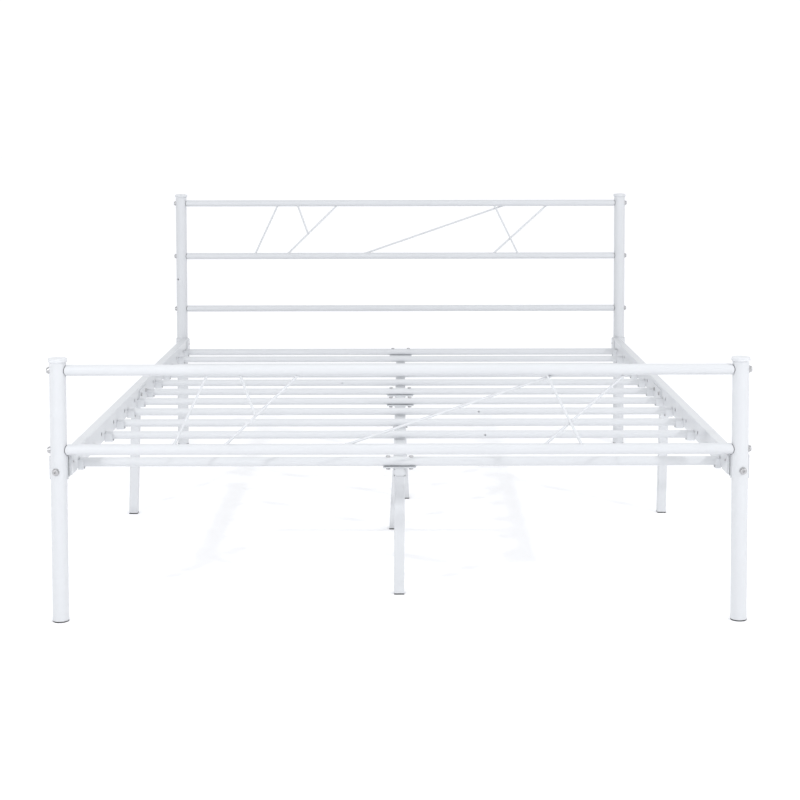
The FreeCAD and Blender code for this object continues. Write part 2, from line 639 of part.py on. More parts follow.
def rail_sleeve(side):
    """Bar inside a side rail that lines up its two halves."""
    low = Vector(side * (RAIL_INNER_X + RAIL_WALL), -SLEEVE_LENGTH / 2, RAIL_BOTTOM + RAIL_WALL)
    high = Vector(side * (RAIL_OUTER_X - RAIL_WALL), SLEEVE_LENGTH / 2, RAIL_TOP - RAIL_WALL)
    corner = RAIL_CORNER - RAIL_WALL / 2
    shape = rounded_block(low, high, ALONG, corner)
    for end in ENDS.values():
        shape = shape.cut(strap_bolt(side, end)[0])
    return shape


def square_glide(foot):
    """Plastic glide under a square leg; foot is the centre of the leg's end, on the floor."""
    half = LEG_SIZE / 2
    pad = rounded_block(foot - Vector(half, half, 0), foot + Vector(half, half, GLIDE_HEIGHT), UP, LEG_CORNER)
    plug = LEG_SIZE / 2 - LEG_WALL - GLIDE_PLAY
    insert = rounded_block(
        foot - Vector(plug, plug, 0), foot + Vector(plug, plug, GLIDE_HEIGHT + GLIDE_PLUG), UP, LEG_CORNER / 2
    )
    return pad.fuse(insert).removeSplitter()


def square_glides():
    """Glides of the four centre legs and the two side legs."""
    feet = [Vector(CENTRE_LEG_LEANS[n - 1], centre_leg_y(n), 0) for n in (1, 2, 3, 4)]
    feet += [Vector(side * (SIDE_LEG_X + SIDE_LEG_LEANS[side]), 0, 0) for side in SIDES.values()]
    return [square_glide(foot) for foot in feet]


def post_fasteners():
    """Bolts, washers and nuts on the posts."""
    bolts, washers, nuts = [], [], []
    for side in SIDES.values():
        for end in ENDS.values():
            centre = post_centre(side, end)
            for height in (HEAD_RAIL_HEIGHTS if end > 0 else FOOT_RAIL_HEIGHTS):
                seat = centre + ACROSS * (side * POST_RADIUS) + UP * height
                length = POST_DIAMETER + POST_BOLT_THREAD
                bolt, washer = post_bolt(seat, ACROSS * -side, length, centre)
                bolts.append(bolt)
                washers.append(washer)
            inward = ALONG * -end
            middle = centre + ACROSS * (side * SIDE_BOLT_OFFSET) + UP * SIDE_BOLT_HEIGHT
            seat = middle - inward * POST_RADIUS
            nut_start = POST_RADIUS + SADDLE_WALL - POST_NUT_SINK
            length = POST_RADIUS + nut_start + POST_NUT_HEIGHT + POST_BOLT_TAIL
            bolt, washer = post_bolt(seat, inward, length, centre)
            bolts.append(bolt)
            washers.append(washer)
            nut = hexagon(middle + inward * nut_start, inward, POST_NUT_FLATS, POST_NUT_HEIGHT)
            nut = nut.cut(cylinder(centre, centre + UP * FAR, POST_DIAMETER + 2 * SADDLE_WALL))
            nuts.append(nut.cut(bolt))
    return bolts, washers, nuts


def small_fasteners():
    """Bolts and nuts through the bars, across the centre rail and through the side legs' straps."""
    pairs = [pair for index in range(BAR_COUNT) for pair in bar_bolts(index)]
    for end in ENDS.values():
        pairs.append(clip_bolt(end))
        for side in SIDES.values():
            pairs.append(strap_bolt(side, end))
    return [bolt for bolt, _ in pairs], [nut for _, nut in pairs]


def screws():
    """Screws of the bar holders, the doublers and the centre legs' flanges."""
    found = [holder_screw(index, side) for index in range(BAR_COUNT) for side in SIDES.values()]
    found += [doubler_screw(side, end) for side in SIDES.values() for end in ENDS.values()]
    for number in (1, 2, 3, 4):
        found += flange_screws(number)
    return found


os.makedirs("parts", exist_ok=True)

for end_name, end in ENDS.items():
    for side_name, side in SIDES.items():
        save(end_name + "_post_" + side_name, post(side, end))
        save(end_name + "_cap_" + side_name, cap(side, end))
        save("side_rail_" + end_name + "_" + side_name, side_rail(side, end))
    save("centre_rail_" + end_name, centre_rail(end))

for name, height in zip(("top", "middle", "lower"), HEAD_RAIL_HEIGHTS):
    save("headboard_rail_" + name, board_rail(1, height, HEAD_RAIL_DIAMETER))
for name, height in zip(("top", "lower"), FOOT_RAIL_HEIGHTS):
    save("footboard_rail_" + name, board_rail(-1, height, FOOT_RAIL_DIAMETER))
for letter, shape in board_rods(1, HEAD_RAIL_HEIGHTS, HEAD_RAIL_DIAMETER).items():
    save("headboard_rod_" + letter, shape)
for letter, shape in board_rods(-1, FOOT_RAIL_HEIGHTS, FOOT_RAIL_DIAMETER).items():
    save("footboard_rod_" + letter, shape)

save("head_crossbar", bar(0))
save("foot_crossbar", bar(BAR_COUNT - 1))
for index in range(1, BAR_COUNT - 1):
    save("slat_" + str(index), bar(index))

for side_name, side in SIDES.items():
    save("side_leg_" + side_name, side_leg(side))
    save("rail_sleeve_" + side_name, rail_sleeve(side))
    save("bar_holders_" + side_name, Part.makeCompound([bar_holder(i, side) for i in range(BAR_COUNT)]))
for number in (1, 2, 3, 4):
    save("centre_leg_" + str(number), centre_leg(number))

save("post_glides", Part.makeCompound([round_glide(s, e) for s in SIDES.values() for e in ENDS.values()]))
save("leg_glides", Part.makeCompound(square_glides()))

bolts, washers, nuts = post_fasteners()
small_bolts, small_nuts = small_fasteners()
save("post_bolts", Part.makeCompound(bolts))
save("post_washers", Part.makeCompound(washers))
save("small_bolts", Part.makeCompound(small_bolts))
save("nuts", Part.makeCompound(nuts + small_nuts))
save("screws", Part.makeCompound(screws()))
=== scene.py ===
import math

import bmesh
import bpy
from bpy.props import FloatProperty, FloatVectorProperty, IntProperty, PointerProperty
from bpy.types import Operator, Panel, PropertyGroup
from mathutils import Matrix, Vector


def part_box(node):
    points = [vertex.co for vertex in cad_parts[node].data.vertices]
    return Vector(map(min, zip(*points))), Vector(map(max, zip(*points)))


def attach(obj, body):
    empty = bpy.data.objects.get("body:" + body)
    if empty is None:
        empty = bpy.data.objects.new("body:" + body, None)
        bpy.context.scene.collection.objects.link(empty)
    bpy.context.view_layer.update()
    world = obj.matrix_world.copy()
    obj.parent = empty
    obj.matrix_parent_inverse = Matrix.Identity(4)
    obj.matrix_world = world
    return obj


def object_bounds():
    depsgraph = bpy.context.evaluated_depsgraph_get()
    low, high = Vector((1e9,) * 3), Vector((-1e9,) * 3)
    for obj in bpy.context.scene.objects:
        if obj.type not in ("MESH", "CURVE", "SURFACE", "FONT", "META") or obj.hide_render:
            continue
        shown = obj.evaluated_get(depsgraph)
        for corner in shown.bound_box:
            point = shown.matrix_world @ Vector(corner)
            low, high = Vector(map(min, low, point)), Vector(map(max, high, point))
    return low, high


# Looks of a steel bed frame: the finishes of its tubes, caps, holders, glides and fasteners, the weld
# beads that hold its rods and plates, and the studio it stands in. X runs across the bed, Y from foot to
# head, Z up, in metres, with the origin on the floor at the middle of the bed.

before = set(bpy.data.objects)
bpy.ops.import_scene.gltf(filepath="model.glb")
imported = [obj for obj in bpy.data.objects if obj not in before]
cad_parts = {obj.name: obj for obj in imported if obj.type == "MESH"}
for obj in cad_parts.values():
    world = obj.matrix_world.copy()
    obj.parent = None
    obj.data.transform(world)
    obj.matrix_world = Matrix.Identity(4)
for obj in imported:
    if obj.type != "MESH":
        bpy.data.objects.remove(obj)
CAD_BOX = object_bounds()

bl_info = {
    "name": "Steel bed frame",
    "version": (1, 0, 0),
    "blender": (4, 5, 0),
    "location": "3D View > Sidebar > Bed",
    "description": "Gives a steel bed frame its finishes, its weld beads and a studio",
    "category": "Object",
}

MM = 0.001
UP = Vector((0, 0, 1))
ACROSS = Vector((1, 0, 0))
ALONG = Vector((0, 1, 0))
BODY = "root"
NOISE_SPAN = {"From Min": 0.3, "From Max": 0.7}     # where nearly all of a noise pattern lies

RIGHT_LAMP = Vector((3.6, -3.1, 2.6))
LEFT_LAMP = Vector((-2.2, -3.6, 2.4))
OVERHEAD_LAMP = Vector((0, -1.7, 3.2))
LAMP_SIZE = 0.14
SOFT_BOX_SIZE = 1.2
HORIZON_TOP = 7.0               # degrees above level up to which the horizon is even
SKY_START = 20.0                # degrees above level from which the sky's own light takes over
NEAR_GLOW = 0.03                # light that comes up through the floor under the bed
NEAR_FLOOR = 1.5                # metres from the middle of the floor at which the glow starts to grow
FAR_FLOOR = 5.0
FLOOR_RADIUS = 60.0
FLOOR_SIDES = 96
SKY_COLOUR = "#FAFBFD"
SCUFF_COLOUR = "#55575A"        # black polyethylene rubbed on a floor
BRIGHT_EDGE_COLOUR = "#DFE0E2"  # zinc rubbed at an edge
PLUG_DEPTH = 8 * MM             # plug in each end of the centre rail, and how it sits there
PLUG_RECESS = 0.8 * MM
PLUG_CORNER = 2.2 * MM
PLUG_CORNER_STEPS = 4
PLUG_SHARP = 40.0               # degrees; an edge of a plug that turns by more stays crisp
SENSOR = 36.0                   # millimetres
CAMERA_PLACE = (0.0085, -4.724, 1.148)
CAMERA_TURN = (86.774, 0.092, -0.132)       # degrees
CAMERA_SHIFT = (-0.0079, -0.2283)           # lowers the view without tilting the posts
BEAD_SWELL = 0.12               # a ripple's rise, as a share of the bead's radius
BEAD_BLUNTNESS = 12             # how suddenly a straight bead narrows at its ends; even
BEAD_END = 0.2                  # its radius at the very end, as a share
RING_POINTS = 32                # points round a rod
TUBE_WALL = 1.5 * MM
RAIL_SKIN = 0.8 * TUBE_WALL     # deeper than the rounding of a rail's edge, short of its inside
SADDLE_REACH = 40 * MM          # end of a side rail where its saddle and its notch are
LEVEL = MM / 10                 # heights that differ by less are the same face


def linear(hex_colour):
    """Linear red, green and blue of an sRGB hex colour."""
    channels = [int(hex_colour[i:i + 2], 16) / 255 for i in (1, 3, 5)]
    return tuple(c / 12.92 if c <= 0.04045 else ((c + 0.055) / 1.055) ** 2.4 for c in channels)


# Settings


class BedFinish(PropertyGroup):
    """Colours and surface sizes of the finishes."""

    coat_colour: FloatVectorProperty(
        name="Coat", description="Powder coat on the steel", subtype="COLOR", size=3,
        default=linear("#C8CACD"),
    )
    thin_coat_colour: FloatVectorProperty(
        name="Thin coat", description="Powder coat where it thins along an edge", subtype="COLOR", size=3,
        default=linear("#B4B8BF"),
    )
    orange_peel: FloatProperty(
        name="Orange peel", description="Spacing of the ripples in the powder coat, in millimetres",
        default=5.0, min=1.0, max=30.0,
    )
    cap_colour: FloatVectorProperty(
        name="Caps", description="Moulded polyethylene caps", subtype="COLOR", size=3,
        default=linear("#CDCFD2"),
    )
    holder_colour: FloatVectorProperty(
        name="Holders", description="Moulded nylon holders", subtype="COLOR", size=3,
        default=linear("#D0D2D5"),
    )
    glide_colour: FloatVectorProperty(
        name="Glides", description="Moulded black glides", subtype="COLOR", size=3,
        default=linear("#1B1C1E"),
    )
    bolt_colour: FloatVectorProperty(
        name="Bolts", description="Zinc plating on bolts, nuts and screws", subtype="COLOR", size=3,
        default=linear("#C2C3C6"),
    )
    scale_colour: FloatVectorProperty(
        name="Mill scale", description="Unpainted steel inside the tubes", subtype="COLOR", size=3,
        default=linear("#4A4C50"),
    )
    steel_colour: FloatVectorProperty(
        name="Bare steel", description="Cold-drawn steel of the hidden sleeves", subtype="COLOR", size=3,
        default=linear("#9B9C9E"),
    )


class BedWelds(PropertyGroup):
    """Sizes of the weld beads."""

    rod_bead: FloatProperty(
        name="Rod bead", description="Radius of the bead round a rod's end", subtype="DISTANCE",
        default=1.1 * MM,
    )
    plate_bead: FloatProperty(
        name="Plate bead", description="Radius of the bead along a plate or a flange", subtype="DISTANCE",
        default=1.8 * MM,
    )
    ripple: FloatProperty(
        name="Ripple", description="Length of one ripple along a bead", subtype="DISTANCE", default=1.8 * MM
    )
    sides: IntProperty(name="Sides", description="Points round a bead", default=10, min=6, max=24)


class BedStage(PropertyGroup):
    """The studio and the camera."""

    floor_colour: FloatVectorProperty(
        name="Floor", description="Paint on the studio floor", subtype="COLOR", size=3,
        default=linear("#FBFBFC"),
    )
    floor_glow: FloatProperty(
        name="Floor glow", description="Light that comes up through the floor far from the bed",
        default=0.1, min=0,
    )
    front_strength: FloatProperty(
        name="Front light", description="Light from beyond the foot of the bed", default=0.89, min=0
    )
    back_strength: FloatProperty(
        name="Back light", description="Light from beyond the head of the bed", default=1.1, min=0
    )
    horizon_strength: FloatProperty(name="Horizon", description="Light near the horizon", default=1.13, min=0)
    right_power: FloatProperty(
        name="Right lamp", description="Lamp beyond the right foot post", subtype="POWER", default=61.0, min=0
    )
    left_power: FloatProperty(
        name="Left lamp", description="Lamp beyond the left foot post", subtype="POWER", default=42.0, min=0
    )
    overhead_power: FloatProperty(
        name="Overhead lamp", description="Soft box over the foot of the bed", subtype="POWER", default=10.0,
        min=0,
    )
    lens: FloatProperty(name="Lens", description="Focal length in millimetres", default=72.1, min=1)


# Materials


def add_node(tree, kind, settings=None, inputs=None):
    """Adds one node; an input is a value or an output socket to link."""
    node = tree.nodes.new(kind)
    for name, value in (settings or {}).items():
        setattr(node, name, value)
    for name, value in (inputs or {}).items():
        if isinstance(value, bpy.types.NodeSocket):
            tree.links.new(value, node.inputs[name])
        else:
            node.inputs[name].default_value = value
    return node


def new_material(name):
    """Material with an empty node tree and an output."""
    material = bpy.data.materials.new(name)
    material.use_nodes = True
    material.node_tree.nodes.clear()
    return material, material.node_tree


def finish_material(tree, shader):
    """Links a shader to the material's output."""
    add_node(tree, "ShaderNodeOutputMaterial", inputs={"Surface": shader.outputs["BSDF"]})


def colour(rgb):
    """A colour with full alpha."""
    return (*rgb, 1.0)


def edge_wear(tree, width):
    """Socket that is 0 on flat places and rises to 1 along sharp edges."""
    rounded = add_node(tree, "ShaderNodeBevel", {"samples": 4}, {"Radius": width})
    surface = add_node(tree, "ShaderNodeNewGeometry")
    same = add_node(
        tree, "ShaderNodeVectorMath", {"operation": "DOT_PRODUCT"},
        {0: rounded.outputs["Normal"], 1: surface.outputs["Normal"]},
    )
    edge = add_node(
        tree, "ShaderNodeMapRange",
        inputs={"Value": same.outputs["Value"], "From Min": 1.0, "From Max": 0.8},
    ).outputs["Result"]
    return edge, rounded.outputs["Normal"]


def powder_coated_steel(finish):
    """Steel tube sprayed with polyester powder and baked.

    The eye gets an even satin white with a faint orange peel that breaks up highlights, a slow drift in gloss
    where the powder went on thicker, and a greyer line along sharp edges, where it pulls back.
    """
    material, tree = new_material("powder_coated_steel")
    place = add_node(tree, "ShaderNodeTexCoord").outputs["Object"]
    edge, rounded = edge_wear(tree, 0.8 * MM)
    patches = add_node(
        tree, "ShaderNodeTexNoise", inputs={"Vector": place, "Scale": 1 / (90 * MM), "Detail": 3.0}
    ).outputs["Fac"]
    # Real orange peel repeats every 2 to 3 mm; it is drawn about twice as coarse so that it shows
    peel = add_node(
        tree, "ShaderNodeTexNoise",
        inputs={"Vector": place, "Scale": 1 / (finish.orange_peel * MM), "Detail": 2.0, "Roughness": 0.4},
    ).outputs["Fac"]
    wear = add_node(
        tree, "ShaderNodeMath", {"operation": "MULTIPLY", "use_clamp": True}, {0: edge, 1: patches}
    ).outputs["Value"]
    worn = add_node(
        tree, "ShaderNodeMix", {"data_type": "RGBA"},
        {"Factor": wear, "A": colour(finish.coat_colour), "B": colour(finish.thin_coat_colour)},
    ).outputs["Result"]
    shade = add_node(
        tree, "ShaderNodeMapRange",
        inputs={"Value": patches, **NOISE_SPAN, "To Min": 0.99, "To Max": 1.01},
    ).outputs["Result"]
    varied = add_node(
        tree, "ShaderNodeVectorMath", {"operation": "SCALE"}, {0: worn, "Scale": shade}
    ).outputs["Vector"]
    gloss = add_node(
        tree, "ShaderNodeMapRange",
        inputs={"Value": patches, **NOISE_SPAN, "To Min": 0.34, "To Max": 0.42},
    ).outputs["Result"]
    relief = add_node(
        tree, "ShaderNodeBump",
        inputs={"Height": peel, "Strength": 0.2, "Distance": 0.1 * MM, "Normal": rounded},
    ).outputs["Normal"]
    shader = add_node(
        tree, "ShaderNodeBsdfPrincipled",
        inputs={"Base Color": varied, "Roughness": gloss, "Normal": relief, "IOR": 1.5},
    )
    finish_material(tree, shader)
    return material


def moulded_polyethylene(finish):
    """Low-density polyethylene, injection moulded in a spark-eroded mould.

    The eye gets a soft, slightly waxy white that lets a little light in, a fine grain, and scuffed edges.
    """
    material, tree = new_material("moulded_polyethylene")
    place = add_node(tree, "ShaderNodeTexCoord").outputs["Object"]
    edge, rounded = edge_wear(tree, 0.6 * MM)
    # The mould's grain is about 0.3 mm; it is drawn at 1.2 mm so that it shows
    grain = add_node(
        tree, "ShaderNodeTexNoise", inputs={"Vector": place, "Scale": 1 / (1.2 * MM), "Detail": 2.0}
    ).outputs["Fac"]
    flow = add_node(
        tree, "ShaderNodeTexNoise", inputs={"Vector": place, "Scale": 1 / (14 * MM), "Detail": 2.0}
    ).outputs["Fac"]
    tone = add_node(
        tree, "ShaderNodeMapRange",
        inputs={"Value": flow, **NOISE_SPAN, "To Min": 0.97, "To Max": 1.01},
    ).outputs["Result"]
    varied = add_node(
        tree, "ShaderNodeVectorMath", {"operation": "SCALE"}, {0: finish.cap_colour, "Scale": tone}
    ).outputs["Vector"]
    gloss = add_node(
        tree, "ShaderNodeMapRange",
        inputs={"Value": edge, "From Min": 0.0, "From Max": 1.0, "To Min": 0.42, "To Max": 0.55},
    ).outputs["Result"]
    relief = add_node(
        tree, "ShaderNodeBump",
        inputs={"Height": grain, "Strength": 0.2, "Distance": 0.05 * MM, "Normal": rounded},
    ).outputs["Normal"]
    shader = add_node(
        tree, "ShaderNodeBsdfPrincipled",
        inputs={
            "Base Color": varied,
            "Roughness": gloss,
            "Normal": relief,
            "IOR": 1.51,
            "Subsurface Weight": 0.15,
            "Subsurface Radius": (1.0, 0.95, 0.9),
            "Subsurface Scale": 1.0 * MM,
        },
    )
    finish_material(tree, shader)
    return material


def moulded_nylon(finish):
    """Nylon, injection moulded, for the cups that carry the bars.

    The eye gets a clean matt white, a little brighter than the coat, with faint flow marks.
    """
    material, tree = new_material("moulded_nylon")
    place = add_node(tree, "ShaderNodeTexCoord").outputs["Object"]
    edge, rounded = edge_wear(tree, 0.5 * MM)
    flow = add_node(
        tree, "ShaderNodeTexNoise",
        inputs={"Vector": place, "Scale": 1 / (8 * MM), "Detail": 3.0, "Distortion": 0.6},
    ).outputs["Fac"]
    tone = add_node(
        tree, "ShaderNodeMapRange",
        inputs={"Value": flow, **NOISE_SPAN, "To Min": 0.96, "To Max": 1.01},
    ).outputs["Result"]
    varied = add_node(
        tree, "ShaderNodeVectorMath", {"operation": "SCALE"}, {0: finish.holder_colour, "Scale": tone}
    ).outputs["Vector"]
    gloss = add_node(
        tree, "ShaderNodeMapRange",
        inputs={"Value": edge, "From Min": 0.0, "From Max": 1.0, "To Min": 0.5, "To Max": 0.62},
    ).outputs["Result"]
    relief = add_node(
        tree, "ShaderNodeBump",
        inputs={"Height": flow, "Strength": 0.15, "Distance": 0.08 * MM, "Normal": rounded},
    ).outputs["Normal"]
    shader = add_node(
        tree, "ShaderNodeBsdfPrincipled",
        inputs={"Base Color": varied, "Roughness": gloss, "Normal": relief, "IOR": 1.53},
    )
    finish_material(tree, shader)
    return material


def moulded_black_polyethylene(finish):
    """High-density polyethylene with carbon black, injection moulded, for the glides.

    The eye gets a dull black that greys where the floor has scuffed its edge.
    """
    material, tree = new_material("moulded_black_polyethylene")
    place = add_node(tree, "ShaderNodeTexCoord").outputs["Object"]
    edge, rounded = edge_wear(tree, 0.6 * MM)
    scuffs = add_node(
        tree, "ShaderNodeTexNoise", inputs={"Vector": place, "Scale": 1 / (3 * MM), "Detail": 4.0}
    ).outputs["Fac"]
    scuffed = add_node(
        tree, "ShaderNodeMath", {"operation": "MULTIPLY", "use_clamp": True}, {0: edge, 1: scuffs}
    ).outputs["Value"]
    varied = add_node(
        tree, "ShaderNodeMix", {"data_type": "RGBA"},
        {"Factor": scuffed, "A": colour(finish.glide_colour), "B": colour(linear(SCUFF_COLOUR))},
    ).outputs["Result"]
    gloss = add_node(
        tree, "ShaderNodeMapRange",
        inputs={"Value": scuffs, **NOISE_SPAN, "To Min": 0.45, "To Max": 0.6},
    ).outputs["Result"]
    relief = add_node(
        tree, "ShaderNodeBump",
        inputs={"Height": scuffs, "Strength": 0.3, "Distance": 0.1 * MM, "Normal": rounded},
    ).outputs["Normal"]
    shader = add_node(
        tree, "ShaderNodeBsdfPrincipled",
        inputs={"Base Color": varied, "Roughness": gloss, "Normal": relief, "IOR": 1.54},
    )
    finish_material(tree, shader)
    return material


def zinc_plated_steel(finish):
    """Cold-headed steel, bright zinc plated in a barrel.

    The eye gets a shiny grey metal, slightly clouded by the plating, that mirrors light and dark in patches.
    """
    material, tree = new_material("zinc_plated_steel")
    place = add_node(tree, "ShaderNodeTexCoord").outputs["Object"]
    edge, rounded = edge_wear(tree, 0.4 * MM)
    clouds = add_node(
        tree, "ShaderNodeTexNoise", inputs={"Vector": place, "Scale": 1 / (2.5 * MM), "Detail": 4.0}
    ).outputs["Fac"]
    rubbed = add_node(
        tree, "ShaderNodeMath", {"operation": "MULTIPLY", "use_clamp": True}, {0: edge, 1: clouds}
    ).outputs["Value"]
    varied = add_node(
        tree, "ShaderNodeMix", {"data_type": "RGBA"},
        {"Factor": rubbed, "A": colour(finish.bolt_colour), "B": colour(linear(BRIGHT_EDGE_COLOUR))},
    ).outputs["Result"]
    gloss = add_node(
        tree, "ShaderNodeMapRange",
        inputs={"Value": clouds, **NOISE_SPAN, "To Min": 0.16, "To Max": 0.3},
    ).outputs["Result"]
    relief = add_node(
        tree, "ShaderNodeBump",
        inputs={"Height": clouds, "Strength": 0.2, "Distance": 0.05 * MM, "Normal": rounded},
    ).outputs["Normal"]
    shader = add_node(
        tree, "ShaderNodeBsdfPrincipled",
        inputs={"Base Color": varied, "Roughness": gloss, "Normal": relief, "Metallic": 1.0},
    )
    finish_material(tree, shader)
    return material


def cold_drawn_steel(finish):
    """Cold-drawn steel bar, bare and lightly oiled.

    The eye gets a grey metal with fine lines along the bar.
    """
    material, tree = new_material("cold_drawn_steel")
    place = add_node(tree, "ShaderNodeTexCoord").outputs["Object"]
    rounded = edge_wear(tree, 0.5 * MM)[1]
    # Drawing lines are stretched along the bar, which runs in Y
    stretched = add_node(
        tree, "ShaderNodeMapping", {"vector_type": "POINT"}, {"Vector": place, "Scale": (1.0, 0.02, 1.0)}
    ).outputs["Vector"]
    lines = add_node(
        tree, "ShaderNodeTexNoise", inputs={"Vector": stretched, "Scale": 1 / (0.8 * MM), "Detail": 2.0}
    ).outputs["Fac"]
    tone = add_node(
        tree, "ShaderNodeMapRange",
        inputs={"Value": lines, **NOISE_SPAN, "To Min": 0.8, "To Max": 1.1},
    ).outputs["Result"]
    varied = add_node(
        tree, "ShaderNodeVectorMath", {"operation": "SCALE"}, {0: finish.steel_colour, "Scale": tone}
    ).outputs["Vector"]
    relief = add_node(
        tree, "ShaderNodeBump",
        inputs={"Height": lines, "Strength": 0.3, "Distance": 0.05 * MM, "Normal": rounded},
    ).outputs["Normal"]
    shader = add_node(
        tree, "ShaderNodeBsdfPrincipled",
        inputs={"Base Color": varied, "Roughness": 0.34, "Normal": relief, "Metallic": 1.0},
    )
    finish_material(tree, shader)
    return material


def hot_rolled_steel(finish):
    """Hot-rolled strip, welded into tube and left unpainted where the powder doesn't reach.

    The eye gets a dark blue-grey in holes and joint gaps, blotched where the mill scale is thicker.
    """
    material, tree = new_material("hot_rolled_steel")
    place = add_node(tree, "ShaderNodeTexCoord").outputs["Object"]
    scale = add_node(
        tree, "ShaderNodeTexNoise", inputs={"Vector": place, "Scale": 1 / (6 * MM), "Detail": 4.0}
    ).outputs["Fac"]
    tone = add_node(
        tree, "ShaderNodeMapRange",
        inputs={"Value": scale, **NOISE_SPAN, "To Min": 0.7, "To Max": 1.15},
    ).outputs["Result"]
    varied = add_node(
        tree, "ShaderNodeVectorMath", {"operation": "SCALE"}, {0: finish.scale_colour, "Scale": tone}
    ).outputs["Vector"]
    gloss = add_node(
        tree, "ShaderNodeMapRange",
        inputs={"Value": scale, **NOISE_SPAN, "To Min": 0.5, "To Max": 0.65},
    ).outputs["Result"]
    relief = add_node(
        tree, "ShaderNodeBump", inputs={"Height": scale, "Strength": 0.3, "Distance": 0.05 * MM}
    ).outputs["Normal"]
    shader = add_node(
        tree, "ShaderNodeBsdfPrincipled",
        inputs={"Base Color": varied, "Roughness": gloss, "Normal": relief, "Metallic": 1.0},
    )
    finish_material(tree, shader)
    return material


MATERIALS = {
    "powder_coated_steel": powder_coated_steel,
    "hot_rolled_steel": hot_rolled_steel,
    "moulded_polyethylene": moulded_polyethylene,
    "moulded_nylon": moulded_nylon,
    "moulded_black_polyethylene": moulded_black_polyethylene,
    "zinc_plated_steel": zinc_plated_steel,
    "cold_drawn_steel": cold_drawn_steel,
}


def material_named(name):
    """A material, made the first time that it is asked for."""
    found = bpy.data.materials.get(name)
    return found or MATERIALS[name](bpy.context.scene.bed_finish)


def give_finish(node, material_name):
    """Gives a CAD node its material."""
    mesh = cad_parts[node].data
    mesh.materials.clear()
    mesh.materials.append(material_named(material_name))


def bare_inside(node, inside):
    """Gives the faces of a tube whose middle is inside it, where no powder reaches, bare steel."""
    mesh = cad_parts[node].data
    mesh.materials.append(material_named("hot_rolled_steel"))
    for face in mesh.polygons:
        if inside(face.center):
            face.material_index = 1


def inside_round_rail(node):
    """Tells whether a point is nearer to a round rail's axis than the middle of its wall."""
    middle, radius = centre_of_rail(node)
    return lambda point: math.hypot(point.y - middle.y, point.z - middle.z) < radius - TUBE_WALL / 2


def inside_side_rail(node):
    """Tells whether a point is inside a side rail's rectangular tube, away from its saddle."""
    points = [v.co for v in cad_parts[node].data.vertices]
    joint = min(abs(p.y) for p in points)
    saddle = max(abs(p.y) for p in points) - SADDLE_REACH
    section = [p for p in points if abs(p.y) < joint + MM]
    low_x, high_x = min(p.x for p in section), max(p.x for p in section)
    low_z, high_z = min(p.z for p in section), max(p.z for p in section)
    return lambda point: (
        low_x + RAIL_SKIN < point.x < high_x - RAIL_SKIN
        and low_z + RAIL_SKIN < point.z < high_z - RAIL_SKIN
        and joint + RAIL_SKIN < abs(point.y) < saddle
    )


def nodes_named(*beginnings):
    """CAD nodes whose names begin in one of these ways."""
    found = [name for name in sorted(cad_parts) if name.startswith(beginnings)]
    if not found:
        raise RuntimeError(f"the frame has no node named like {beginnings}")
    return found


# Geometry of the welds


def axis_of_rod(node):
    """Lower and upper end of a straight rod's centre line."""
    points = [v.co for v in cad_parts[node].data.vertices]
    middle = (min(p.z for p in points) + max(p.z for p in points)) / 2
    low = [p for p in points if p.z < middle]
    high = [p for p in points if p.z > middle]
    return sum(low, Vector()) / len(low), sum(high, Vector()) / len(high)


def centre_of_rail(node):
    """A point on a round rail's axis, which runs across the bed, and the rail's radius."""
    low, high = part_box(node)
    middle = (low + high) / 2
    return middle, (high.z - low.z) / 2


def distance_to_cylinder(start, direction, centre, axis, radius):
    """How far from start, which is outside, a line runs until it meets an endless cylinder."""
    flat_direction = direction - axis * direction.dot(axis)
    flat_start = (start - centre) - axis * (start - centre).dot(axis)
    a = flat_direction.length_squared
    b = flat_start.dot(flat_direction)
    c = flat_start.length_squared - radius ** 2
    return (-b - math.sqrt(max(b * b - a * c, 0.0))) / a


def ring_where_rod_meets(far_end, near_end, rod_radius, centre, axis, radius):
    """Closed line round a rod where it meets a cylinder; the rod runs from far_end to near_end."""
    direction = (near_end - far_end).normalized()
    sideways = direction.cross(ALONG).normalized()
    frontways = direction.cross(sideways)
    ring = []
    for step in range(RING_POINTS):
        turn = 2 * math.pi * step / RING_POINTS
        start = far_end + sideways * (rod_radius * math.cos(turn)) + frontways * (rod_radius * math.sin(turn))
        ring.append(start + direction * distance_to_cylinder(start, direction, centre, axis, radius))
    return ring


def add_bead(mesh, path, radius, closed, welds):
    """Adds a rippled weld bead to a bmesh, along a line of close points that is closed or about level."""
    count = len(path)
    centre = sum(path, Vector()) / count
    length = sum((path[i] - path[i - 1]).length for i in range(0 if closed else 1, count))
    ripples = max(1, round(length / welds.ripple))
    rings = []
    for i, point in enumerate(path):
        before = path[i - 1] if closed or i else point
        after = path[(i + 1) % count] if closed or i < count - 1 else point
        tangent = (after - before).normalized()
        outward = point - centre if closed else UP
        outward = (outward - tangent * outward.dot(tangent)).normalized()
        side = tangent.cross(outward)
        share = i / count if closed else i / (count - 1)
        swell = 1 + BEAD_SWELL * math.cos(2 * math.pi * ripples * share)
        if not closed:
            swell *= math.sqrt(max(1 - (2 * share - 1) ** BEAD_BLUNTNESS, BEAD_END ** 2))
        ring = []
        for step in range(welds.sides):
            turn = 2 * math.pi * step / welds.sides
            offset = outward * math.cos(turn) + side * math.sin(turn)
            ring.append(mesh.verts.new(point + offset * (radius * swell)))
        rings.append(ring)
    for i in range(count if closed else count - 1):
        first, second = rings[i], rings[(i + 1) % count]
        for step in range(welds.sides):
            after = (step + 1) % welds.sides
            mesh.faces.new((first[step], first[after], second[after], second[step]))
    if not closed:
        mesh.faces.new(rings[0])
        mesh.faces.new(reversed(rings[-1]))


